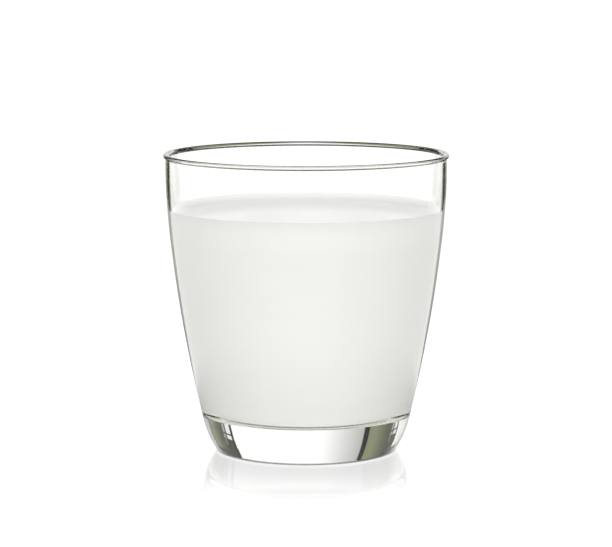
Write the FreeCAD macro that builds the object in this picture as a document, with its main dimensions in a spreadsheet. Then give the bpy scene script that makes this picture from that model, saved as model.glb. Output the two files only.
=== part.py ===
import FreeCAD, Part
import math
import os

import Sketcher

# A beaded drinking tumbler with a thick clear base, filled with milk to below its rim.
# Both pieces are turned about Z. Outlines are drawn with x as the distance from that axis
# and y as the height above the table, in millimetres.
SIZES = {
    "glass_height": 89.8,  # table to the crest of the lip
    "rim_radius": 43.0,  # outermost, on the bead
    "bead_radius": 0.65,  # half-round bead outside the lip
    "rim_wall": 1.3,  # wall just under the lip, and the round inside the lip
    "shoulder_drop": 27.5,  # crest of the lip down to where the upper wall turns upright
    "shoulder_radius": 40.82,
    "shoulder_wall": 1.75,
    "wall_arc": 477.0,  # curve of the wall between heel and shoulder
    "heel_height": 9.15,  # where the wall turns in to the foot
    "heel_radius": 31.18,
    "heel_wall": 3.3,  # wall that the cavity would leave at the heel
    "foot_inset": 4.9,  # heel's radius less the outside of the flat ring that it stands on
    "foot_round": 1.6,
    "ring_width": 3.7,
    "punt_depth": 0.9,  # hollow under the foot
    "floor_height": 10.9,  # thickness of the base
    "inner_corner": 8.5,  # round between the cavity's floor and wall
    "headspace": 16.4,  # crest of the lip down to where the milk meets the wall
    "meniscus_climb": 2.6,  # the milk's edge above its level surface
    "meniscus_round": 3.4,
}
START, END, CENTRE = 1, 2, 3
ORIGIN = (-1, START)
VERTICAL_AXIS = -2
UP = FreeCAD.Vector(0, 0, 1)


def size(name):
    return SIZES[name]


def vector(x, y):
    return FreeCAD.Vector(x, y, 0)


class Edge:
    """A line or arc of an outline: its number in the sketch, and which ends come first and last."""

    def __init__(self, index, first, last):
        self.index = index
        self.first = (index, first)
        self.last = (index, last)
        self.centre = (index, CENTRE)


class Outline:
    """A sketch in a body's XZ plane whose sizes are bound to the sheet."""

    def __init__(self, body, name):
        self.sketch = body.newObject("Sketcher::SketchObject", name)
        planes = body.Origin.OriginFeatures
        plane = next(p for p in planes if p.Role == "XZ_Plane")
        self.sketch.AttachmentSupport = [(plane, "")]
        self.sketch.MapMode = "FlatFace"

    def line(self, start, end):
        segment = Part.LineSegment(vector(*start), vector(*end))
        return Edge(self.sketch.addGeometry(segment, False), START, END)

    def arc(self, start, end, centre):
        """The shorter arc from start to end about centre. Arcs are stored anticlockwise."""
        angles = [math.atan2(y - centre[1], x - centre[0]) for x, y in (start, end)]
        turn = math.remainder(angles[1] - angles[0], 2 * math.pi)
        low = angles[0] if turn > 0 else angles[1]
        circle = Part.Circle(vector(*centre), UP, math.dist(start, centre))
        arc = Part.ArcOfCircle(circle, low, low + abs(turn))
        ends = (START, END) if turn > 0 else (END, START)
        return Edge(self.sketch.addGeometry(arc, False), *ends)

    def mark(self, place):
        """A construction point, which shapes the outline but isn't on it."""
        index = self.sketch.addGeometry(Part.Point(vector(*place)), True)
        return Edge(index, START, START)

    def constrain(self, kind, *where):
        """A geometric constraint on edges and ends of edges."""
        flat = []
        for item in where:
            flat += item if isinstance(item, tuple) else [item]
        return self.sketch.addConstraint(Sketcher.Constraint(kind, *flat))

    def bind(self, kind, value, expression, *where):
        """A dimension that follows an expression of the sheet's sizes."""
        flat = []
        for item in where:
            flat += item if isinstance(item, tuple) else [item]
        index = self.sketch.addConstraint(Sketcher.Constraint(kind, *flat, value))
        for name in sorted(SIZES, key=len, reverse=True):
            expression = expression.replace("<" + name + ">", "Sizes." + name)
        self.sketch.setExpression("Constraints[%d]" % index, expression)

    def place(self, end, radius, radius_text, height, height_text):
        """Ties an end of an edge to a radius and a height."""
        self.bind("DistanceX", radius, radius_text, ORIGIN, end)
        self.bind("DistanceY", height, height_text, ORIGIN, end)

    def smooth(self, before, after):
        """Joins two edges with no corner between them."""
        self.constrain("Tangent", before.last, after.first)

    def meet(self, before, after):
        """Joins two edges at a corner."""
        self.constrain("Coincident", before.last, after.first)


def chord_centre(low, high, radius):
    """The centre of an arc that bulges away from the axis between two points."""
    across = math.dist(low, high)
    along = ((high[0] - low[0]) / across, (high[1] - low[1]) / across)
    depth = math.sqrt(radius**2 - across**2 / 4)
    middle = ((low[0] + high[0]) / 2, (low[1] + high[1]) / 2)
    return (middle[0] - along[1] * depth, middle[1] + along[0] * depth)


def tangent_centre(joint, neighbour_centre, far_end):
    """The centre of an arc that leaves joint smoothly from its neighbour and ends at far_end."""
    reach = math.dist(joint, neighbour_centre)
    way = [(n - j) / reach for n, j in zip(neighbour_centre, joint)]
    chord = [f - j for f, j in zip(far_end, joint)]
    radius = (chord[0] ** 2 + chord[1] ** 2) / (2 * (chord[0] * way[0] + chord[1] * way[1]))
    return (joint[0] + way[0] * radius, joint[1] + way[1] * radius)


def from_centre(centre, towards, radius):
    """The point at a distance from centre, in the direction of another point."""
    reach = math.dist(centre, towards)
    return tuple(c + (t - c) * radius / reach for c, t in zip(centre, towards))


def shoulder_height():
    return size("glass_height") - size("shoulder_drop")


def foot_radius():
    return size("heel_radius") - size("foot_inset")


def shoulder_inside():
    return (size("shoulder_radius") - size("shoulder_wall"), shoulder_height())


def heel_inside():
    return (size("heel_radius") - size("heel_wall"), size("heel_height"))


def lip_inside():
    crest = size("rim_radius") - size("bead_radius")
    return (crest - size("rim_wall"), size("glass_height") - size("rim_wall"))


def draw_cavity(outline, top):
    """The cavity's floor, corner, lower wall and upper wall, from the axis up to top.

    The lower wall keeps the outer wall's curve, and runs through the points that the shoulder's
    and the heel's wall thickness give. The upper wall runs on smoothly towards the lip.
    """
    floor, corner = size("floor_height"), size("inner_corner")
    wall_centre = chord_centre(heel_inside(), shoulder_inside(), size("wall_arc"))
    upper_centre = tangent_centre(shoulder_inside(), wall_centre, lip_inside())
    corner_y = floor + corner
    reach = size("wall_arc") - corner
    corner_x = wall_centre[0] + math.sqrt(reach**2 - (corner_y - wall_centre[1]) ** 2)
    corner_centre = (corner_x, corner_y)
    corner_top = from_centre(wall_centre, corner_centre, size("wall_arc"))

    floor_line = outline.line((0, floor), (corner_x, floor))
    corner_arc = outline.arc((corner_x, floor), corner_top, corner_centre)
    lower_arc = outline.arc(corner_top, shoulder_inside(), wall_centre)
    upper_arc = outline.arc(shoulder_inside(), top, upper_centre)

    outline.constrain("Horizontal", floor_line.index)
    outline.smooth(floor_line, corner_arc)
    outline.bind("Radius", corner, "<inner_corner>", corner_arc.index)
    outline.smooth(corner_arc, lower_arc)
    outline.bind("Radius", size("wall_arc"), "<wall_arc>", lower_arc.index)
    heel = outline.mark(heel_inside())
    outline.place(
        heel.first,
        heel_inside()[0],
        "<heel_radius> - <heel_wall>",
        heel_inside()[1],
        "<heel_height>",
    )
    outline.constrain("PointOnObject", heel.first, lower_arc.index)
    outline.place(
        lower_arc.last,
        shoulder_inside()[0],
        "<shoulder_radius> - <shoulder_wall>",
        shoulder_inside()[1],
        "<glass_height> - <shoulder_drop>",
    )
    outline.smooth(lower_arc, upper_arc)
    return floor_line, upper_arc


def draw_lip(outline, upper_inside):
    """The round inside the lip and the half-round bead outside it."""
    height, bead, wall = size("glass_height"), size("bead_radius"), size("rim_wall")
    crest = size("rim_radius") - bead
    inner = outline.arc(lip_inside(), (crest, height), (crest, height - wall))
    circle = Part.Circle(vector(crest, height - bead), UP, bead)
    half_turn = Part.ArcOfCircle(circle, -math.pi / 2, math.pi / 2)
    bead_arc = Edge(outline.sketch.addGeometry(half_turn, False), END, START)

    outline.meet(upper_inside, inner)
    outline.place(
        inner.first,
        lip_inside()[0],
        "<rim_radius> - <bead_radius> - <rim_wall>",
        lip_inside()[1],
        "<glass_height> - <rim_wall>",
    )
    outline.constrain("Horizontal", inner.first, inner.centre)
    outline.bind("Radius", wall, "<rim_wall>", inner.index)
    outline.constrain("Vertical", inner.centre, inner.last)
    outline.meet(inner, bead_arc)
    outline.constrain("Vertical", bead_arc.first, bead_arc.centre)
    outline.constrain("Vertical", bead_arc.centre, bead_arc.last)
    outline.bind("Radius", bead, "<bead_radius>", bead_arc.index)
    return bead_arc


def draw_outside(outline, bead_arc):
    """The outer wall down from the bead, the heel and the foot's round."""
    under_bead = (
        size("rim_radius") - size("bead_radius"),
        size("glass_height") - 2 * size("bead_radius"),
    )
    shoulder = (size("shoulder_radius"), shoulder_height())
    heel = (size("heel_radius"), size("heel_height"))
    foot, foot_round = foot_radius(), size("foot_round")
    foot_centre = (foot, foot_round)
    wall_centre = chord_centre(heel, shoulder, size("wall_arc"))
    upper_centre = tangent_centre(shoulder, wall_centre, under_bead)
    way = from_centre((0, 0), (wall_centre[0] - heel[0], wall_centre[1] - heel[1]), 1)
    gap = (heel[0] - foot_centre[0], heel[1] - foot_centre[1])
    heel_arc_radius = (foot_round**2 - gap[0] ** 2 - gap[1] ** 2) / (
        2 * (gap[0] * way[0] + gap[1] * way[1] + foot_round)
    )
    heel_centre = tuple(h + w * heel_arc_radius for h, w in zip(heel, way))
    foot_top = from_centre(heel_centre, foot_centre, heel_arc_radius)

    upper = outline.arc(under_bead, shoulder, upper_centre)
    wall = outline.arc(shoulder, heel, wall_centre)
    heel_arc = outline.arc(heel, foot_top, heel_centre)
    foot_arc = outline.arc(foot_top, (foot, 0), foot_centre)

    outline.meet(bead_arc, upper)
    outline.smooth(upper, wall)
    outline.place(
        wall.first,
        shoulder[0],
        "<shoulder_radius>",
        shoulder[1],
        "<glass_height> - <shoulder_drop>",
    )
    outline.bind("Radius", size("wall_arc"), "<wall_arc>", wall.index)
    outline.place(wall.last, heel[0], "<heel_radius>", heel[1], "<heel_height>")
    outline.smooth(wall, heel_arc)
    outline.smooth(heel_arc, foot_arc)
    outline.bind("Radius", foot_round, "<foot_round>", foot_arc.index)
    return foot_arc


def draw_foot(outline, foot_arc, floor_line):
    """The flat ring that it stands on, the hollow inside the ring, and the axis."""
    foot, depth = foot_radius(), size("punt_depth")
    ring = foot - size("ring_width")
    punt_radius = (ring**2 + depth**2) / (2 * depth)
    ring_line = outline.line((foot, 0), (ring, 0))
    punt = outline.arc((ring, 0), (0, depth), (0, depth - punt_radius))
    axis = outline.line((0, depth), (0, size("floor_height")))

    outline.smooth(foot_arc, ring_line)
    outline.constrain("Horizontal", ring_line.index)
    outline.place(ring_line.first, foot, "<heel_radius> - <foot_inset>", 0, "0")
    ring_text = "<heel_radius> - <foot_inset> - <ring_width>"
    outline.bind("DistanceX", ring, ring_text, ORIGIN, ring_line.last)
    outline.meet(ring_line, punt)
    outline.constrain("PointOnObject", punt.centre, VERTICAL_AXIS)
    outline.constrain("PointOnObject", punt.last, VERTICAL_AXIS)
    outline.bind("DistanceY", depth, "<punt_depth>", ORIGIN, punt.last)
    outline.meet(punt, axis)
    outline.meet(axis, floor_line)
    outline.place(floor_line.first, 0, "0", size("floor_height"), "<floor_height>")


def draw_milk_top(outline, floor_line, upper_inside, contact):
    """The milk's curved edge, its level surface and its axis."""
    climb, round_radius = size("meniscus_climb"), size("meniscus_round")
    level = contact[1] - climb
    inward = math.sqrt(round_radius**2 - (round_radius - climb) ** 2)
    centre = (contact[0] - inward, level + round_radius)
    edge = outline.arc(contact, (centre[0], level), centre)
    surface = outline.line((centre[0], level), (0, level))
    axis = outline.line((0, level), (0, size("floor_height")))

    outline.meet(upper_inside, edge)
    outline.bind("Radius", round_radius, "<meniscus_round>", edge.index)
    outline.smooth(edge, surface)
    outline.constrain("Horizontal", surface.index)
    outline.place(
        surface.last, 0, "0", level, "<glass_height> - <headspace> - <meniscus_climb>"
    )
    outline.meet(surface, axis)
    outline.meet(axis, floor_line)
    outline.place(floor_line.first, 0, "0", size("floor_height"), "<floor_height>")


def turn(body, outline, name):
    """A full turn of the outline about the body's height."""
    solid = body.newObject("PartDesign::Revolution", name)
    solid.Profile = outline.sketch
    solid.ReferenceAxis = (outline.sketch, ["V_Axis"])
    solid.Angle = 360
    outline.sketch.Visibility = False
    body.Tip = solid


def new_body(doc, label):
    body = doc.addObject("PartDesign::Body", label)
    body.Label = label
    body.Placement = FreeCAD.Placement()
    return body


def make_tumbler(doc):
    body = new_body(doc, "tumbler")
    outline = Outline(body, "tumbler_outline")
    floor_line, upper_inside = draw_cavity(outline, lip_inside())
    bead_arc = draw_lip(outline, upper_inside)
    foot_arc = draw_outside(outline, bead_arc)
    draw_foot(outline, foot_arc, floor_line)
    turn(body, outline, "tumbler_turn")
    return body


def make_milk(doc):
    """The milk fills the cavity's own outline, up to where it meets the wall."""
    body = new_body(doc, "milk")
    outline = Outline(body, "milk_outline")
    wall_centre = chord_centre(heel_inside(), shoulder_inside(), size("wall_arc"))
    upper_centre = tangent_centre(shoulder_inside(), wall_centre, lip_inside())
    upper_radius = math.dist(upper_centre, shoulder_inside())
    height = size("glass_height") - size("headspace")
    side = 1 if upper_centre[0] < 0 else -1
    away = math.sqrt(upper_radius**2 - (height - upper_centre[1]) ** 2)
    contact = (upper_centre[0] + side * away, height)

    floor_line, upper_inside = draw_cavity(outline, contact)
    lip = outline.mark(lip_inside())
    outline.place(
        lip.first,
        lip_inside()[0],
        "<rim_radius> - <bead_radius> - <rim_wall>",
        lip_inside()[1],
        "<glass_height> - <rim_wall>",
    )
    outline.constrain("PointOnObject", lip.first, upper_inside.index)
    outline.bind("DistanceY", height, "<glass_height> - <headspace>", ORIGIN, upper_inside.last)
    draw_milk_top(outline, floor_line, upper_inside, contact)
    turn(body, outline, "milk_turn")
    return body


def make_sheet(doc):
    """The sheet of driving sizes, one named cell each."""
    sheet = doc.addObject("Spreadsheet::Sheet", "Sizes")
    for row, (name, value) in enumerate(SIZES.items(), start=1):
        sheet.set("A%d" % row, name)
        sheet.set("B%d" % row, str(value))
        sheet.setAlias("B%d" % row, name)
    doc.recompute()


def check(doc, bodies):
    """Stops if any object failed or a piece isn't one valid solid."""
    for item in doc.Objects:
        if {"Invalid", "Error"} & set(item.State):
            raise RuntimeError("%s failed: %s" % (item.Name, item.State))
    for body in bodies:
        shape = body.Shape
        if shape.isNull() or not shape.isValid() or len(shape.Solids) != 1:
            raise RuntimeError("%s isn't one valid solid" % body.Label)


def main():
    doc = FreeCAD.newDocument("GlassOfMilk")
    make_sheet(doc)
    bodies = [make_tumbler(doc), make_milk(doc)]
    doc.recompute()
    check(doc, bodies)
    os.makedirs("parts", exist_ok=True)
    for body in bodies:
        body.Shape.exportStep("parts/%s.step" % body.Label)
        print("%s: %.0f mm3" % (body.Label, body.Shape.Volume))


main()
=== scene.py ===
"""Looks of a beaded drinking tumbler filled with milk, in a bright studio.

Both pieces are turned shapes. Outlines are lists of points (radius, height) in metres.
"""

import logging
import math
from dataclasses import dataclass, field
from enum import Enum

import bpy
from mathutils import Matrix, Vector


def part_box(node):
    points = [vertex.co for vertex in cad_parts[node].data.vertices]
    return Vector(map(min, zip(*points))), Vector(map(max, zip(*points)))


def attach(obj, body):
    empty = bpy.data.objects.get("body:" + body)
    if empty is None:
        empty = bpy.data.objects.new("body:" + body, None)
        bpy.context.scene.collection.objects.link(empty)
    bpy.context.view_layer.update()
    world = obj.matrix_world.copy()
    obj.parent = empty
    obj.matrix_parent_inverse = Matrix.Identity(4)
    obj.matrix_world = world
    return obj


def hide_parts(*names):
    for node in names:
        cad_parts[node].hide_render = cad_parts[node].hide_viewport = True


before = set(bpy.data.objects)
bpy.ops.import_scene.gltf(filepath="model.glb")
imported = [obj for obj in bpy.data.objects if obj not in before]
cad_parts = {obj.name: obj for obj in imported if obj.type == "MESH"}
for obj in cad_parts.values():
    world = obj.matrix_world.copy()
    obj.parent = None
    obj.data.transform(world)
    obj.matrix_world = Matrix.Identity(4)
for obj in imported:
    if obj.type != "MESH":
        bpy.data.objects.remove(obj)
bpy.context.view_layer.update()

MM = 0.001
log = logging.getLogger("glass_of_milk")
Point = tuple[float, float]
Colour = tuple[float, float, float, float]


# ---------------------------------------------------------------- outline geometry


def chord_centre(low: Point, high: Point, radius: float) -> Point:
    """Finds the centre of an arc that bulges away from the axis.

    Args:
        low: The arc's lower end.
        high: The arc's upper end.
        radius: The arc's radius.

    Returns:
        The centre, on the axis's side of the two ends.
    """
    across = math.dist(low, high)
    along = ((high[0] - low[0]) / across, (high[1] - low[1]) / across)
    depth = math.sqrt(radius**2 - across**2 / 4)
    middle = ((low[0] + high[0]) / 2, (low[1] + high[1]) / 2)
    return (middle[0] - along[1] * depth, middle[1] + along[0] * depth)


def tangent_centre(joint: Point, neighbour: Point, far_end: Point) -> Point:
    """Finds the centre of an arc that leaves a joint smoothly.

    Args:
        joint: Where the arc meets its neighbour.
        neighbour: The neighbouring arc's centre.
        far_end: The arc's other end.

    Returns:
        The arc's centre.
    """
    reach = math.dist(joint, neighbour)
    way = [(n - j) / reach for n, j in zip(neighbour, joint)]
    chord = [f - j for f, j in zip(far_end, joint)]
    radius = (chord[0] ** 2 + chord[1] ** 2) / (2 * (chord[0] * way[0] + chord[1] * way[1]))
    return (joint[0] + way[0] * radius, joint[1] + way[1] * radius)


def from_centre(centre: Point, towards: Point, radius: float) -> Point:
    """Finds the point that is a radius away from a centre, towards another point."""
    reach = math.dist(centre, towards)
    return tuple(c + (t - c) * radius / reach for c, t in zip(centre, towards))


def arc(start: Point, end: Point, centre: Point, step: float) -> list[Point]:
    """Samples the shorter arc between two points.

    Args:
        start: The first point.
        end: The last point.
        centre: The arc's centre.
        step: The longest distance between samples.

    Returns:
        The points after start, up to end.
    """
    radius = math.dist(start, centre)
    first = math.atan2(start[1] - centre[1], start[0] - centre[0])
    last = math.atan2(end[1] - centre[1], end[0] - centre[0])
    turn = math.remainder(last - first, 2 * math.pi)
    count = max(2, math.ceil(abs(turn) * radius / step))
    angles = [first + turn * i / count for i in range(1, count + 1)]
    return [(centre[0] + radius * math.cos(a), centre[1] + radius * math.sin(a)) for a in angles]


def line(start: Point, end: Point, step: float) -> list[Point]:
    """Samples a straight run.

    Args:
        start: The first point.
        end: The last point.
        step: The longest distance between samples.

    Returns:
        The points after start, up to end.
    """
    count = max(1, math.ceil(math.dist(start, end) / step))
    shares = [i / count for i in range(1, count + 1)]
    return [tuple(s + (e - s) * t for s, e in zip(start, end)) for t in shares]


def pushed_out(points: list[Point], distance: float) -> list[Point]:
    """Moves a run of points sideways, away from the axis or down.

    Args:
        points: The run, from the axis outwards and up.
        distance: How far each point moves.

    Returns:
        The moved points.
    """
    moved = []
    for i, (r, z) in enumerate(points):
        before, after = points[max(i - 1, 0)], points[min(i + 1, len(points) - 1)]
        length = math.dist(before, after)
        across = ((after[1] - before[1]) / length, (before[0] - after[0]) / length)
        moved.append((r + across[0] * distance, z + across[1] * distance))
    return moved


# ---------------------------------------------------------------- modelling


def clear_selection() -> None:
    """Leaves no object selected or active."""
    if bpy.context.mode != "OBJECT":
        bpy.ops.object.mode_set(mode="OBJECT")
    bpy.ops.object.select_all(action="DESELECT")


class TurnedPiece:
    """A piece made by spinning an outline about the vertical axis."""

    name: str
    slot: str
    replaced: str
    steps: int
    smooth_angle: float = math.radians(60)
    weld: float = 0.002 * MM

    def outline(self) -> list[Point]:
        """Gives the outline, from the axis round to the axis."""
        raise NotImplementedError

    def build(self) -> bpy.types.Object:
        """Extrudes the outline from one point and spins it a full turn.

        Returns:
            The finished mesh object, at the origin.
        """
        points = self.outline()
        clear_selection()
        bpy.ops.mesh.primitive_plane_add(size=MM, location=(0, 0, 0))
        piece = bpy.context.active_object
        piece.name = self.name
        piece.data.name = self.name
        bpy.ops.object.mode_set(mode="EDIT")
        bpy.ops.mesh.select_all(action="SELECT")
        bpy.ops.mesh.merge(type="CENTER")
        bpy.ops.transform.translate(value=(points[0][0], 0, points[0][1]))
        for before, after in zip(points, points[1:]):
            move = (after[0] - before[0], 0, after[1] - before[1])
            bpy.ops.mesh.extrude_region_move(TRANSFORM_OT_translate={"value": move})
        bpy.ops.mesh.select_all(action="SELECT")
        bpy.ops.mesh.spin(
            steps=self.steps, angle=2 * math.pi, center=(0, 0, 0), axis=(0, 0, 1)
        )
        bpy.ops.mesh.select_all(action="SELECT")
        bpy.ops.mesh.remove_doubles(threshold=self.weld)
        bpy.ops.mesh.normals_make_consistent(inside=False)
        bpy.ops.mesh.select_all(action="DESELECT")
        bpy.ops.object.mode_set(mode="OBJECT")
        bpy.ops.object.shade_smooth_by_angle(angle=self.smooth_angle)
        return piece

    def finish(self, piece: bpy.types.Object, *materials: bpy.types.Material) -> None:
        """Dresses the piece and ties it to the frame.

        Args:
            piece: The mesh object.
            *materials: Its materials; the second takes the faces that is_upper picks.
        """
        piece.data.materials.clear()
        for material in materials:
            piece.data.materials.append(material)
        if len(materials) > 1:
            for face in piece.data.polygons:
                face.material_index = int(self.is_upper(face))
        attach(piece, "root")
        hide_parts(self.replaced)
        log.info("%s: %d faces, %s", piece.name, len(piece.data.polygons), materials[0].name)


@dataclass
class Cavity:
    """The tumbler's inside, from the floor's middle up to the lip."""

    lip_inside: Point
    shoulder_inside: Point
    heel_inside: Point
    floor_height: float
    corner: float
    wall_arc: float
    step: float = 0.9 * MM

    @property
    def wall_centre(self) -> Point:
        """The lower wall's centre."""
        return chord_centre(self.heel_inside, self.shoulder_inside, self.wall_arc)

    @property
    def upper_centre(self) -> Point:
        """The upper wall's centre."""
        return tangent_centre(self.shoulder_inside, self.wall_centre, self.lip_inside)

    def at_height(self, height: float) -> Point:
        """Gives the upper wall's point at a height.

        Args:
            height: The height above the table.

        Returns:
            The point on the upper wall.
        """
        centre = self.upper_centre
        radius = math.dist(centre, self.shoulder_inside)
        side = 1 if centre[0] < self.shoulder_inside[0] else -1
        return (centre[0] + side * math.sqrt(radius**2 - (height - centre[1]) ** 2), height)

    def run(self, top: Point) -> list[Point]:
        """Samples the cavity's outline.

        Args:
            top: Where the run ends on the upper wall.

        Returns:
            The points from the axis, along the floor and up the wall.
        """
        low = self.floor_height
        centre_height = low + self.corner
        reach = self.wall_arc - self.corner
        drop = centre_height - self.wall_centre[1]
        corner_centre = (self.wall_centre[0] + math.sqrt(reach**2 - drop**2), centre_height)
        corner_top = from_centre(self.wall_centre, corner_centre, self.wall_arc)
        points = [(0.0, low)]
        points += line(points[-1], (corner_centre[0], low), 2 * self.step)
        points += arc(points[-1], corner_top, corner_centre, self.step / 2)
        points += arc(corner_top, self.shoulder_inside, self.wall_centre, self.step)
        points += arc(self.shoulder_inside, top, self.upper_centre, self.step)
        return points


@dataclass
class Tumbler(TurnedPiece):
    """The glass itself: a beaded lip, a wall that thickens downwards, and a solid base."""

    height: float
    rim_radius: float
    floor_height: float
    bead_radius: float = 0.65 * MM
    bead_neck: float = 0.25 * MM
    round_height: float = 0.8 * MM
    round_points: int = 12
    rim_wall: float = 1.3 * MM
    shoulder_drop: float = 27.5 * MM
    shoulder_radius: float = 40.82 * MM
    shoulder_wall: float = 1.75 * MM
    wall_arc: float = 477.0 * MM
    heel_height: float = 9.15 * MM
    heel_radius: float = 31.18 * MM
    heel_wall: float = 3.3 * MM
    foot_inset: float = 4.9 * MM
    foot_round: float = 1.6 * MM
    ring_width: float = 3.7 * MM
    punt_depth: float = 0.9 * MM
    inner_corner: float = 8.5 * MM
    step: float = 0.9 * MM
    fine_step: float = 0.1 * MM
    heel_fineness: int = 3
    steps: int = 240
    name: str = "tumbler_glass"
    slot: str = "glass"
    replaced: str = "tumbler"

    @property
    def crest_radius(self) -> float:
        """The radius of the lip's highest line."""
        return self.rim_radius - self.bead_radius

    @property
    def shoulder(self) -> Point:
        """Where the upper wall turns upright, outside."""
        return (self.shoulder_radius, self.height - self.shoulder_drop)

    def cavity(self) -> Cavity:
        """Gives the glass's inside.

        Returns:
            The cavity, from the round inside the lip to the floor.
        """
        return Cavity(
            lip_inside=(self.crest_radius - self.rim_wall, self.height - self.rim_wall),
            shoulder_inside=(self.shoulder_radius - self.shoulder_wall, self.shoulder[1]),
            heel_inside=(self.heel_radius - self.heel_wall, self.heel_height),
            floor_height=self.floor_height,
            corner=self.inner_corner,
            wall_arc=self.wall_arc,
            step=self.step,
        )

    def lip(self) -> list[Point]:
        """Samples the round inside the lip, the bead and the neck under the bead.

        Returns:
            The points from the lip's inside over its crest to the top of the outer wall.
        """
        crest = (self.crest_radius, self.height)
        inside = self.cavity().at_height(self.height - self.round_height)
        reach = crest[0] - inside[0]
        middle = (self.crest_radius, self.height - self.bead_radius)
        spread = self.bead_radius + self.bead_neck
        neck_drop = math.sqrt(spread**2 - self.bead_neck**2)
        neck_centre = (self.crest_radius + self.bead_neck, middle[1] - neck_drop)
        under_bead = from_centre(middle, neck_centre, self.bead_radius)
        outermost = (self.rim_radius, middle[1])
        wall_top = (self.crest_radius, neck_centre[1])
        count = self.round_points
        turns = [math.pi / 2 * i / count for i in range(1, count + 1)]
        points = [
            (crest[0] - reach * math.cos(t), inside[1] + self.round_height * math.sin(t))
            for t in turns
        ]
        points += arc(crest, outermost, middle, self.fine_step)
        points += arc(outermost, under_bead, middle, self.fine_step)
        return points + arc(under_bead, wall_top, neck_centre, self.fine_step)

    def outside(self, wall_top: Point) -> list[Point]:
        """Samples the outer wall, the heel and the foot's round.

        Args:
            wall_top: The point under the bead.

        Returns:
            The points down to the foot's flat ring.
        """
        heel = (self.heel_radius, self.heel_height)
        foot_centre = (self.heel_radius - self.foot_inset, self.foot_round)
        wall_centre = chord_centre(heel, self.shoulder, self.wall_arc)
        upper_centre = tangent_centre(self.shoulder, wall_centre, wall_top)
        inward = [(w - h) / self.wall_arc for w, h in zip(wall_centre, heel)]
        gap = [h - f for h, f in zip(heel, foot_centre)]
        lean = gap[0] * inward[0] + gap[1] * inward[1] + self.foot_round
        heel_arc = (self.foot_round**2 - gap[0] ** 2 - gap[1] ** 2) / (2 * lean)
        heel_centre = tuple(h + i * heel_arc for h, i in zip(heel, inward))
        foot_top = from_centre(heel_centre, foot_centre, heel_arc)
        points = arc(wall_top, self.shoulder, upper_centre, self.step)
        points += arc(self.shoulder, heel, wall_centre, self.step)
        points += arc(heel, foot_top, heel_centre, self.step / self.heel_fineness)
        return points + arc(foot_top, (foot_centre[0], 0.0), foot_centre, self.fine_step)

    def underside(self) -> list[Point]:
        """Samples the flat ring and the shallow hollow inside it.

        Returns:
            The points from the foot's outer edge to the axis.
        """
        outer = self.heel_radius - self.foot_inset
        ring = outer - self.ring_width
        hollow = (ring**2 + self.punt_depth**2) / (2 * self.punt_depth)
        points = line((outer, 0.0), (ring, 0.0), self.step)
        centre = (0.0, self.punt_depth - hollow)
        return points + arc((ring, 0.0), (0.0, self.punt_depth), centre, self.step)

    def outline(self) -> list[Point]:
        """Gives the outline, from the cavity's floor over the lip to the underside.

        Returns:
            The points, from the axis round to the axis.
        """
        cavity = self.cavity()
        points = cavity.run(cavity.at_height(self.height - self.round_height)) + self.lip()
        points += self.outside(points[-1])
        return points + self.underside()


@dataclass
class Milk(TurnedPiece):
    """The milk: it reaches just into the wall, and climbs the wall by surface tension."""

    cavity: Cavity
    contact_height: float
    capillary_length: float = 2.1 * MM
    climb: float = 2.9 * MM
    reach_in: float = 0.06 * MM
    edge_points: int = 40
    level_step: float = 1.5 * MM
    level_play: float = 0.01 * MM
    level_lean: float = 0.02
    steps: int = 192
    name: str = "milk_fill"
    slot: str = "milk"
    replaced: str = "milk"

    def edge(self, contact: Point) -> list[Point]:
        """Samples the surface from the wall to the axis.

        Args:
            contact: Where the milk meets the wall.

        Returns:
            The points after contact, along the curved edge and the level surface.
        """
        level = contact[1] - self.climb
        length = self.capillary_length

        def run_out(rise: float) -> float:
            """Distance from the wall at which a plane meniscus stands this high."""
            share = rise / (2 * length)
            return length * math.acosh(1 / share) - 2 * length * math.sqrt(1 - share**2)

        count = self.edge_points
        rises = [self.climb * (1 - i / count) ** 2 for i in range(1, count)]
        start = run_out(self.climb)
        points = [(contact[0] - (run_out(rise) - start), level + rise) for rise in rises]
        return points + line(points[-1], (0.0, level), self.level_step)

    def is_upper(self, face: bpy.types.MeshPolygon) -> bool:
        """Says whether a face is part of the free surface: above the level, and looking up."""
        level = self.contact_height - self.climb
        return face.center.z > level - self.level_play and face.normal.z > self.level_lean

    def outline(self) -> list[Point]:
        """Gives the outline, from the cavity's floor up the wall and across the surface.

        Returns:
            The points, from the axis round to the axis.
        """
        contact = self.cavity.at_height(self.contact_height)
        sides = pushed_out(self.cavity.run(contact), self.reach_in)
        sides[0] = (0.0, sides[0][1])
        return sides + [contact] + self.edge(contact)


# ---------------------------------------------------------------- shader building


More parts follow.
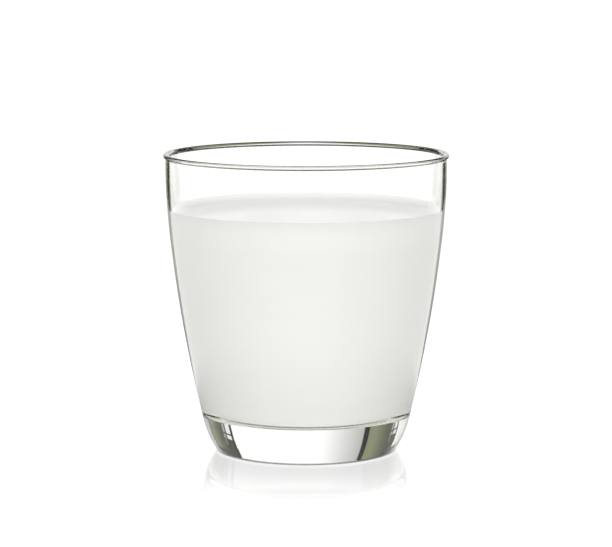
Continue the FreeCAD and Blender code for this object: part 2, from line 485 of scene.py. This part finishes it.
class Nodes:
    """A node tree under construction, with short calls for the nodes used here."""

    def __init__(self, tree: bpy.types.NodeTree) -> None:
        """Takes an empty tree."""
        self.tree = tree

    def add(self, kind: str, **values: object) -> bpy.types.Node:
        """Adds a node.

        Args:
            kind: The node's type name, without its ShaderNode prefix.
            **values: Properties of the node.

        Returns:
            The node.
        """
        node = self.tree.nodes.new("ShaderNode" + kind)
        for name, value in values.items():
            setattr(node, name, value)
        return node

    def put(self, socket: bpy.types.NodeSocket, value: object) -> None:
        """Links a socket to another, or sets its value.

        Args:
            socket: The input.
            value: An output to link to, or a value.
        """
        if isinstance(value, bpy.types.NodeSocket):
            self.tree.links.new(value, socket)
        else:
            socket.default_value = value

    def math(self, operation: str, *inputs: object) -> bpy.types.NodeSocket:
        """Adds a Math node.

        Args:
            operation: The operation's name.
            *inputs: Numbers or sockets.

        Returns:
            The result's socket.
        """
        node = self.add("Math", operation=operation)
        for socket, value in zip(node.inputs, inputs):
            self.put(socket, value)
        return node.outputs[0]

    def ramp(
        self, value: object, low: float, high: float, at_low: float, at_high: float
    ) -> bpy.types.NodeSocket:
        """Maps a value smoothly from one range to another, and holds it beyond both ends.

        Args:
            value: The value.
            low: The range's start.
            high: The range's end.
            at_low: The result up to the start.
            at_high: The result from the end on.

        Returns:
            The result's socket.
        """
        node = self.add("MapRange", interpolation_type="SMOOTHSTEP")
        for socket, number in zip(node.inputs, (value, low, high, at_low, at_high)):
            self.put(socket, number)
        return node.outputs[0]

    def stops(
        self, value: object, full: float, stops: list[tuple[float, tuple]]
    ) -> bpy.types.NodeSocket:
        """Looks a value up in a list of colours.

        Args:
            value: The value.
            full: The value at the list's end.
            stops: Pairs of a value and its colour.

        Returns:
            The colour.
        """
        ramp = self.add("ValToRGB")
        elements = ramp.color_ramp.elements
        while len(elements) < len(stops):
            elements.new(0.5)
        for element, (place, colour) in zip(elements, stops):
            element.position = place / full
            element.color = colour
        self.put(ramp.inputs[0], self.math("DIVIDE", value, full))
        return ramp.outputs[0]

    def blend(self, share: object, first: object, second: object) -> bpy.types.NodeSocket:
        """Mixes two colours.

        Args:
            share: 0 for the first, 1 for the second.
            first: A colour or socket.
            second: A colour or socket.

        Returns:
            The mix's socket.
        """
        node = self.add("Mix", data_type="RGBA")
        self.put(node.inputs[0], share)
        self.put(node.inputs[6], first)
        self.put(node.inputs[7], second)
        return node.outputs[2]


def grey(value: float, tint: tuple[float, float, float] = (1, 1, 1)) -> Colour:
    """Gives a grey of a linear brightness, each channel multiplied by a tint."""
    return tuple(value * part for part in tint) + (1.0,)


def drift_group() -> bpy.types.NodeTree:
    """Builds the slow unevenness that moulded glass and standing milk both have.

    Returns:
        A group with inputs Scale and Detail, and output Height, about 0 to 1.
    """
    group = bpy.data.node_groups.new("slow_drift", "ShaderNodeTree")
    for name, value in (("Scale", 60.0), ("Detail", 1.0)):
        socket = group.interface.new_socket(name, in_out="INPUT", socket_type="NodeSocketFloat")
        socket.default_value = value
    group.interface.new_socket("Height", in_out="OUTPUT", socket_type="NodeSocketFloat")
    nodes = Nodes(group)
    given = group.nodes.new("NodeGroupInput")
    result = group.nodes.new("NodeGroupOutput")
    place = nodes.add("TexCoord")
    noise = nodes.add("TexNoise")
    nodes.put(noise.inputs["Vector"], place.outputs["Object"])
    nodes.put(noise.inputs["Scale"], given.outputs["Scale"])
    nodes.put(noise.inputs["Detail"], given.outputs["Detail"])
    noise.inputs["Roughness"].default_value = 0.45
    nodes.put(result.inputs["Height"], noise.outputs[0])
    return group


@dataclass(frozen=True)
class GlassFinish:
    """Clear pressed glass, faintly green where it is thick, with rings of painted shade on its
    lip.
    """

    name: str = "clear_tumbler_glass"
    ior: float = 1.52
    tint: Colour = (0.68, 0.74, 0.40, 1.0)
    depth: float = 1.6
    # Painted shade: the dark colour of rings on the lip's crest and under its bead, and their
    # heights in millimetres from the lip.
    painted_ring_colour: Colour = (0.07, 0.075, 0.035, 1.0)
    painted_rings: tuple[tuple[float, float], ...] = ((-1.34, -0.97), (-0.13, 0.1))
    line_edge: float = 0.02
    wave_scale: float = 55.0
    wave_detail: float = 1.0
    wave_height: float = 0.02 * MM

    def painted_ring_mask(self, nodes: Nodes, height: float) -> bpy.types.NodeSocket:
        """Marks the rings of painted shade, dark lines on the lip's crest and on the underside of
        its bead.

        Args:
            nodes: The tree under construction.
            height: The lip's height; painted_rings and line_edge are in millimetres from it.

        Returns:
            1 on the marked rings, 0 elsewhere.
        """
        place = nodes.add("TexCoord")
        parts = nodes.add("SeparateXYZ")
        nodes.put(parts.inputs[0], place.outputs["Object"])
        level = nodes.math("DIVIDE", nodes.math("SUBTRACT", parts.outputs[2], height), MM)
        ring_shade = 0.0
        for low, high in self.painted_rings:
            above = nodes.ramp(level, low - self.line_edge, low + self.line_edge, 0.0, 1.0)
            below = nodes.ramp(level, high - self.line_edge, high + self.line_edge, 1.0, 0.0)
            ring_shade = nodes.math("ADD", ring_shade, nodes.math("MULTIPLY", above, below))
        return ring_shade

    def material(self, drift: bpy.types.NodeTree, height: float) -> bpy.types.Material:
        """Builds the material.

        Args:
            drift: The slow unevenness group.
            height: The lip's height.

        Returns:
            The material.
        """
        made = bpy.data.materials.new(self.name)
        made.use_nodes = True
        made.node_tree.nodes.clear()
        nodes = Nodes(made.node_tree)
        out = nodes.add("OutputMaterial")
        shader = nodes.add("BsdfPrincipled")
        # Painted shade: the lip's crest and the underside of its bead take a dark colour.
        ring_shade = self.painted_ring_mask(nodes, height)
        nodes.put(shader.inputs["Base Color"], nodes.blend(ring_shade, grey(1.0), self.painted_ring_colour))
        shader.inputs["Transmission Weight"].default_value = 1.0
        shader.inputs["Roughness"].default_value = 0.0
        shader.inputs["IOR"].default_value = self.ior
        wave = nodes.add("Group", node_tree=drift)
        wave.inputs["Scale"].default_value = self.wave_scale
        wave.inputs["Detail"].default_value = self.wave_detail
        bump = nodes.add("Bump")
        bump.inputs["Distance"].default_value = self.wave_height
        nodes.put(bump.inputs["Height"], wave.outputs["Height"])
        nodes.put(shader.inputs["Normal"], bump.outputs[0])
        inside = nodes.add("VolumeAbsorption")
        inside.inputs["Color"].default_value = self.tint
        inside.inputs["Density"].default_value = self.depth
        nodes.put(out.inputs["Surface"], shader.outputs[0])
        nodes.put(out.inputs["Volume"], inside.outputs[0])
        return made


class Neighbour(Enum):
    """What a face of the milk touches."""

    GLASS = "in_glass"
    AIR = "surface"


@dataclass(frozen=True)
class MilkFinish:
    """Whole milk: opaque, soft, faintly warm-green white, with painted light near the top, wet on
    top.

    Against the glass it mirrors only what arrives at a low angle, as where light inside
    glass meets milk; glass_share is milk's refractive index over glass's.
    """

    name: str = "whole_milk"
    light: Colour = (0.940, 0.942, 0.922, 1.0)
    dark: Colour = (0.915, 0.917, 0.897, 1.0)
    # Painted light: the lighter colour of the milk against the glass near the top, and the heights
    # over which it comes in.
    painted_top_light: Colour = (0.980, 0.979, 0.966, 1.0)
    painted_light_rise: tuple[float, float] = (0.062, 0.074)
    cloud_scale: float = 45.0
    cloud_detail: float = 3.0
    roughness: float = 0.06
    glass_share: float = 1.35 / 1.52
    matched_ior: float = 1.0
    surface_ior: float = 1.22
    ripple_scale: float = 90.0
    ripple_detail: float = 2.0
    ripple_height: float = 0.02 * MM

    def drift(
        self, nodes: Nodes, group: bpy.types.NodeTree, scale: float, detail: float
    ) -> bpy.types.NodeSocket:
        """Places the slow unevenness group.

        Args:
            nodes: The tree under construction.
            group: The group.
            scale: How fine it is.
            detail: How many finer layers it has.

        Returns:
            Its height.
        """
        node = nodes.add("Group", node_tree=group)
        node.inputs["Scale"].default_value = scale
        node.inputs["Detail"].default_value = detail
        return node.outputs["Height"]

    def material(self, drift: bpy.types.NodeTree, neighbour: Neighbour) -> bpy.types.Material:
        """Builds the material.

        Args:
            drift: The slow unevenness group.
            neighbour: What the milk touches here.

        Returns:
            The material.
        """
        made = bpy.data.materials.new(f"{self.name}_{neighbour.value}")
        made.use_nodes = True
        made.node_tree.nodes.clear()
        nodes = Nodes(made.node_tree)
        out = nodes.add("OutputMaterial")
        shader = nodes.add("BsdfPrincipled")
        shader.inputs["Roughness"].default_value = self.roughness
        shader.inputs["IOR"].default_value = self.surface_ior
        cloud = self.drift(nodes, drift, self.cloud_scale, self.cloud_detail)
        colour = nodes.blend(cloud, self.dark, self.light)
        if neighbour is Neighbour.GLASS:
            shader.inputs["IOR"].default_value = self.matched_ior
            mirror = nodes.add("Fresnel")
            mirror.inputs["IOR"].default_value = self.glass_share
            nodes.put(shader.inputs["Metallic"], mirror.outputs[0])
            # Painted light: near the top, the milk against the glass takes a lighter colour.
            place = nodes.add("TexCoord")
            parts = nodes.add("SeparateXYZ")
            nodes.put(parts.inputs[0], place.outputs["Object"])
            rise = nodes.ramp(parts.outputs[2], *self.painted_light_rise, 0.0, 1.0)
            colour = nodes.blend(rise, colour, self.painted_top_light)
        nodes.put(shader.inputs["Base Color"], colour)
        bump = nodes.add("Bump")
        bump.inputs["Distance"].default_value = self.ripple_height
        ripple = self.drift(nodes, drift, self.ripple_scale, self.ripple_detail)
        nodes.put(bump.inputs["Height"], ripple)
        nodes.put(shader.inputs["Normal"], bump.outputs[0])
        nodes.put(out.inputs["Surface"], shader.outputs[0])
        return made


# ---------------------------------------------------------------- studio


@dataclass(frozen=True)
class Band:
    """A stretch of backdrop or card between two directions, of one colour or fading to another."""

    start: float
    end: float
    colour: Colour
    end_colour: Colour | None = None


OLIVE = (1.0, 1.05, 0.62)
FLOOR_OLIVE = (0.95, 1.0, 0.5)
QUARTER = 90.0
BLACK = grey(0.0)


def faded(share: float, white: float) -> Colour:
    """Gives a shade from black (share 0) over a card's dark olive to white (share 1)."""
    tint = tuple(1 - (1 - part) * (1 - share) for part in FLOOR_OLIVE)
    return grey(share * white, tint)


WINDOW = (
    Band(35.4, 36.9, BLACK),
    Band(37.2, 40.7, grey(0.9)),
    Band(41.0, 41.7, BLACK),
    Band(42.0, 43.4, grey(0.42)),
)

CARD = (
    Band(44.4, 49.6, grey(0.055, OLIVE), grey(0.09, OLIVE)),
    Band(50.0, 57.0, grey(0.10, OLIVE), grey(0.22, OLIVE)),
    Band(57.4, 62.3, grey(0.24, OLIVE)),
    Band(62.6, 65.3, BLACK),
    Band(65.6, 74.0, grey(0.50), grey(0.74)),
    Band(74.0, 84.0, grey(0.74), grey(1.1)),
)


@dataclass(frozen=True)
class Tier:
    """The bands between two elevations, in degrees; the next tier starts at the top."""

    top: float
    bands: tuple[Band, ...]


@dataclass
class Studio:
    """A white studio: lit backdrops on four sides, dark cards between them, a white floor.

    Directions are in degrees, those round the upright axis from a backdrop's middle, the same
    for all four; distances are from the glass's axis. Fields of four numbers are a distance
    range and the shares at its two ends. The soft_ and key fields are the light that milk
    scatters; what clear glass shows comes from the others. The flags are dark cloths above
    the backdrops.
    """

    backdrop: float = 1.12
    soften: float = 0.3
    tiers: tuple[Tier, ...] = (
        Tier(11.2, (*WINDOW, *CARD)),
        Tier(12.0, (Band(35.4, 43.4, BLACK), *CARD)),
        Tier(14.3, (*WINDOW, *CARD)),
        Tier(
            18.5,
            (
                Band(35.2, 37.0, BLACK),
                Band(37.3, 40.6, grey(0.04, OLIVE)),
                Band(41.0, 41.9, BLACK),
                Band(42.3, 43.6, grey(0.18, OLIVE)),
                *CARD,
            ),
        ),
        Tier(
            90.0,
            (
                Band(34.6, 37.0, BLACK),
                Band(37.3, 43.6, grey(0.04, OLIVE), grey(0.015, OLIVE)),
                *CARD,
            ),
        ),
    )
    card_top: tuple[float, float] = (27.0, 31.0)
    dome: float = 0.95
    dome_dark: float = 0.02
    dome_turn: tuple[float, float] = (29.0, 33.0)
    zenith: float = 0.5
    zenith_rise: tuple[float, float] = (60.0, 75.0)
    floor_size: float = 80.0
    floor_drop: float = 0.1 * MM
    floor_glow: float = 1.12
    floor_cards: tuple[tuple[float, float], ...] = (
        (0, 1.0),
        (8, 1.0),
        (12, 0.93),
        (16, 0.7),
        (19, 0.38),
        (21, 0.12),
        (23, 0.02),
        (32, 0.02),
        (34, 1.0),
    )
    floor_ior: float = 1.45
    mirror: float = 1.15
    mirror_fade: tuple[float, float] = (30 * MM, 110 * MM)
    # Painted contact shadow: over this distance range round the foot, the floor that the camera
    # sees is darker.
    contact: tuple[float, float, float, float] = (26.3 * MM, 27.6 * MM, 0.05, 1.0)
    shade_start: tuple[float, float] = (0.10, 0.16)
    foot_shade: tuple[float, float, float, float] = (0.055, 0.12, 0.18, 1.0)
    back_shade: tuple[float, float, float, float] = (0.15, 0.45, 0.12, 1.0)
    back_turn: tuple[float, float] = (26.0, 40.0)
    soft_shade: tuple[float, float, float, float] = (0.03, 0.15, 0.66, 1.0)
    soft_rise: float = 70.0
    soft_horizon: float = 1.42
    soft_top: float = 0.50
    soft_floor: float = 1.31
    key: float = 0.35
    flag_glow: float = 0.01
    flag_distance: float = 0.32
    flag_low: float = 0.188
    flag_high: float = 2.0

    def ring(self, nodes: Nodes, x: object, y: object) -> bpy.types.NodeSocket:
        """Gives a direction's angle round the upright axis, folded to one backdrop's quarter."""
        turn = nodes.math("DEGREES", nodes.math("ARCTAN2", x, y))
        return nodes.math("WRAP", turn, QUARTER, 0.0)

    def bands(self, nodes: Nodes, angle: object, bands: tuple[Band, ...]) -> bpy.types.NodeSocket:
        """Lays cards side by side, with white outside them.

        Args:
            nodes: The tree under construction.
            angle: The folded direction.
            bands: The cards.

        Returns:
            The colour.
        """
        white = grey(self.backdrop)
        stops = [(bands[0].start - self.soften, white)]
        for band in bands:
            stops += [(band.start, band.colour), (band.end, band.end_colour or band.colour)]
        stops.append((bands[-1].end + self.soften, white))
        return nodes.stops(angle, QUARTER, stops)

    def facing(self, nodes: Nodes, x: object, y: object) -> bpy.types.NodeSocket:
        """Makes the soft light stronger from the front and the back than from the sides.

        Args:
            nodes: The tree under construction.
            x: The direction's x.
            y: The direction's y.

        Returns:
            The light's share, about 1.
        """
        ahead = nodes.math("MULTIPLY", y, y)
        aside = nodes.math("MULTIPLY", x, x)
        return nodes.math("MULTIPLY_ADD", nodes.math("SUBTRACT", ahead, aside), self.key, 1.0)

    def world(self) -> None:
        """Builds the light from all round."""
        world = bpy.data.worlds.new("studio")
        bpy.context.scene.world = world
        world.use_nodes = True
        world.node_tree.nodes.clear()
        nodes = Nodes(world.node_tree)
        out = nodes.add("OutputWorld")
        glow = nodes.add("Background")
        place = nodes.add("TexCoord")
        parts = nodes.add("SeparateXYZ")
        nodes.put(parts.inputs[0], place.outputs["Generated"])
        angle = self.ring(nodes, parts.outputs[0], parts.outputs[1])
        height = nodes.math("DEGREES", nodes.math("ARCSINE", parts.outputs[2]))
        fold = nodes.math("PINGPONG", angle, QUARTER / 2)
        colour = self.bands(nodes, angle, self.tiers[0].bands)
        for below, tier in zip(self.tiers, self.tiers[1:]):
            above = nodes.math("GREATER_THAN", height, below.top)
            colour = nodes.blend(above, colour, self.bands(nodes, angle, tier.bands))
        above = nodes.ramp(height, *self.card_top, 0.0, 1.0)
        dome = nodes.ramp(fold, *self.dome_turn, self.dome_dark, self.dome)
        zenith = nodes.ramp(height, *self.zenith_rise, 0.0, 1.0)
        dome = nodes.blend(zenith, dome, grey(self.zenith))
        colour = nodes.blend(above, colour, dome)
        soft = nodes.ramp(height, 0.0, self.soft_rise, self.soft_horizon, self.soft_top)
        front = self.facing(nodes, parts.outputs[0], parts.outputs[1])
        path = nodes.add("LightPath")
        soft = nodes.math("MULTIPLY", soft, front)
        colour = nodes.blend(self.scattered(nodes, path), colour, soft)
        nodes.put(glow.inputs["Color"], colour)
        nodes.put(out.inputs["Surface"], glow.outputs[0])

    def scattered(self, nodes: Nodes, path: bpy.types.Node) -> bpy.types.NodeSocket:
        """Says whether a ray has been scattered by the milk: 1 if it has, else 0."""
        return nodes.math("GREATER_THAN", path.outputs["Diffuse Depth"], 0.5)

    def floor_seen_in_glass(
        self, nodes: Nodes, x: object, y: object, distance: object
    ) -> bpy.types.NodeSocket:
        """Gives the floor's colour for clear glass: white, with dark cards laid behind.

        Args:
            nodes: The tree under construction.
            x: The place's x.
            y: The place's y.
            distance: Its distance from the axis.

        Returns:
            The colour.
        """
        turn = nodes.math("ABSOLUTE", nodes.math("DEGREES", nodes.math("ARCTAN2", x, y)))
        fold = nodes.math("MINIMUM", turn, QUARTER / 2)
        stops = [(place, faded(share, self.floor_glow)) for place, share in self.floor_cards]
        pattern = nodes.stops(fold, QUARTER / 2, stops)
        far = nodes.ramp(distance, *self.shade_start, 0.0, 1.0)
        laid = nodes.blend(far, grey(self.floor_glow), pattern)
        # Painted shade on the floor round the foot and behind the glass; the camera does not see
        # it directly.
        aside = nodes.math("SUBTRACT", 1.0, nodes.ramp(turn, *self.back_turn, 1.0, 0.0))
        back = nodes.math("ADD", nodes.ramp(distance, *self.back_shade), aside)
        near = nodes.math("MINIMUM", nodes.ramp(distance, *self.foot_shade), back)
        product = nodes.add("Mix", data_type="RGBA", blend_type="MULTIPLY")
        product.inputs[0].default_value = 1.0
        nodes.put(product.inputs[6], laid)
        nodes.put(product.inputs[7], near)
        return product.outputs[2]

    def floor_soft(
        self, nodes: Nodes, x: object, y: object, distance: object
    ) -> bpy.types.NodeSocket:
        """Gives the floor's brightness for light that the milk scatters.

        Args:
            nodes: The tree under construction.
            x: The place's x.
            y: The place's y.
            distance: Its distance from the axis.

        Returns:
            The brightness.
        """
        across = nodes.math("DIVIDE", x, distance)
        along = nodes.math("DIVIDE", y, distance)
        front = self.facing(nodes, across, along)
        # Painted shade: near the foot, the floor gives the milk less light.
        soft = nodes.math("MULTIPLY", nodes.ramp(distance, *self.soft_shade), self.soft_floor)
        return nodes.math("MULTIPLY", soft, front)

    def floor_material(self) -> bpy.types.Material:
        """Builds the floor's white, its contact shade and its faint mirror.

        Returns:
            The material.
        """
        made = bpy.data.materials.new("studio_floor")
        made.use_nodes = True
        made.node_tree.nodes.clear()
        nodes = Nodes(made.node_tree)
        out = nodes.add("OutputMaterial")
        place = nodes.add("TexCoord")
        parts = nodes.add("SeparateXYZ")
        nodes.put(parts.inputs[0], place.outputs["Object"])
        away = nodes.add("VectorMath", operation="LENGTH")
        nodes.put(away.inputs[0], place.outputs["Object"])
        here = (parts.outputs[0], parts.outputs[1], away.outputs["Value"])
        distance = here[2]
        path = nodes.add("LightPath")
        colour = nodes.blend(
            self.scattered(nodes, path),
            self.floor_seen_in_glass(nodes, *here),
            self.floor_soft(nodes, *here),
        )
        # Painted contact shadow: round the foot, the floor that the camera sees is darker.
        seen = nodes.math("MULTIPLY", nodes.ramp(distance, *self.contact), self.floor_glow)
        colour = nodes.blend(path.outputs["Is Camera Ray"], colour, seen)
        glow = nodes.add("Emission")
        nodes.put(glow.inputs["Color"], colour)
        gloss = nodes.add("BsdfGlossy")
        gloss.inputs["Roughness"].default_value = 0.0
        grazing = nodes.add("Fresnel")
        grazing.inputs["IOR"].default_value = self.floor_ior
        sheen = nodes.ramp(distance, *self.mirror_fade, self.mirror, 0.0)
        mix = nodes.add("MixShader")
        nodes.put(mix.inputs[0], nodes.math("MULTIPLY", grazing.outputs[0], sheen))
        nodes.put(mix.inputs[1], glow.outputs[0])
        nodes.put(mix.inputs[2], gloss.outputs[0])
        nodes.put(out.inputs["Surface"], mix.outputs[0])
        return made

    def floor(self) -> None:
        """Lays the floor just under the foot."""
        clear_selection()
        bpy.ops.mesh.primitive_plane_add(
            size=self.floor_size, location=(0, 0, -self.floor_drop)
        )
        floor = bpy.context.active_object
        floor.name = "studio_floor"
        floor.data.materials.append(self.floor_material())

    def flag_material(self) -> bpy.types.Material:
        """Builds the cloths' near-black, which light that the milk scatters passes through.

        Returns:
            The material.
        """
        made = bpy.data.materials.new("studio_flags")
        made.use_nodes = True
        made.node_tree.nodes.clear()
        nodes = Nodes(made.node_tree)
        out = nodes.add("OutputMaterial")
        dark = nodes.add("Emission")
        dark.inputs["Color"].default_value = grey(self.flag_glow, OLIVE)
        clear = nodes.add("BsdfTransparent")
        mix = nodes.add("MixShader")
        nodes.put(mix.inputs[0], self.scattered(nodes, nodes.add("LightPath")))
        nodes.put(mix.inputs[1], dark.outputs[0])
        nodes.put(mix.inputs[2], clear.outputs[0])
        nodes.put(out.inputs["Surface"], mix.outputs[0])
        return made

    def flags(self) -> None:
        """Hangs dark cloths above the four backdrops; only clear glass shows them."""
        clear_selection()
        bpy.ops.mesh.primitive_cylinder_add(
            vertices=4,
            radius=self.flag_distance * math.sqrt(2),
            depth=self.flag_high - self.flag_low,
            end_fill_type="NOTHING",
            location=(0, 0, (self.flag_low + self.flag_high) / 2),
        )
        cloths = bpy.context.active_object
        cloths.name = "studio_flags"
        bpy.ops.transform.rotate(value=math.radians(45), orient_axis="Z")
        bpy.ops.object.transform_apply(location=True, rotation=True, scale=True)
        cloths.data.materials.append(self.flag_material())
        cloths.visible_camera = False
        cloths.visible_diffuse = False
        cloths.visible_shadow = False

    def settings(self) -> None:
        """Sets how light is traced and shown."""
        scene = bpy.context.scene
        scene.view_settings.view_transform = "Standard"
        scene.view_settings.look = "None"
        scene.cycles.max_bounces = 32
        scene.cycles.transmission_bounces = 28
        scene.cycles.glossy_bounces = 12
        scene.cycles.diffuse_bounces = 12
        scene.cycles.blur_glossy = 0.0


@dataclass
class Camera:
    """The view, from a little above the lip and looking slightly down."""

    distance: float = 0.808
    elevation: float = math.radians(7.64)
    aim: Vector = field(default_factory=lambda: Vector((-0.00006, 0, 0.0533)))
    lens: float = 157.4
    sensor: float = 36.0

    def build(self) -> None:
        """Makes the camera and sets it as the scene's."""
        data = bpy.data.cameras.new("camera")
        data.lens = self.lens
        data.sensor_width = self.sensor
        camera = bpy.data.objects.new("camera", data)
        bpy.context.scene.collection.objects.link(camera)
        back = Vector((0, -math.cos(self.elevation), math.sin(self.elevation)))
        camera.location = self.aim + back * self.distance
        camera.rotation_euler = back.to_track_quat("Z", "Y").to_euler()
        bpy.context.scene.camera = camera


# ---------------------------------------------------------------- the scene


def main() -> None:
    """Builds the pieces in order, then the studio, and notes the sizes."""
    logging.basicConfig(level=logging.INFO, format="%(name)s: %(message)s")
    low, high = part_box("tumbler")
    milk_low, milk_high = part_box("milk")
    drift = drift_group()
    tumbler = Tumbler(
        height=high.z,
        rim_radius=min(high.x - low.x, high.y - low.y) / 2,
        floor_height=milk_low.z,
    )
    tumbler.finish(tumbler.build(), GlassFinish().material(drift, high.z))
    milk = Milk(cavity=tumbler.cavity(), contact_height=milk_high.z)
    finish = MilkFinish()
    milk.finish(milk.build(), *(finish.material(drift, meets) for meets in Neighbour))
    studio = Studio()
    studio.world()
    studio.floor()
    studio.flags()
    studio.settings()
    Camera().build()


if __name__ == "__main__":
    main()
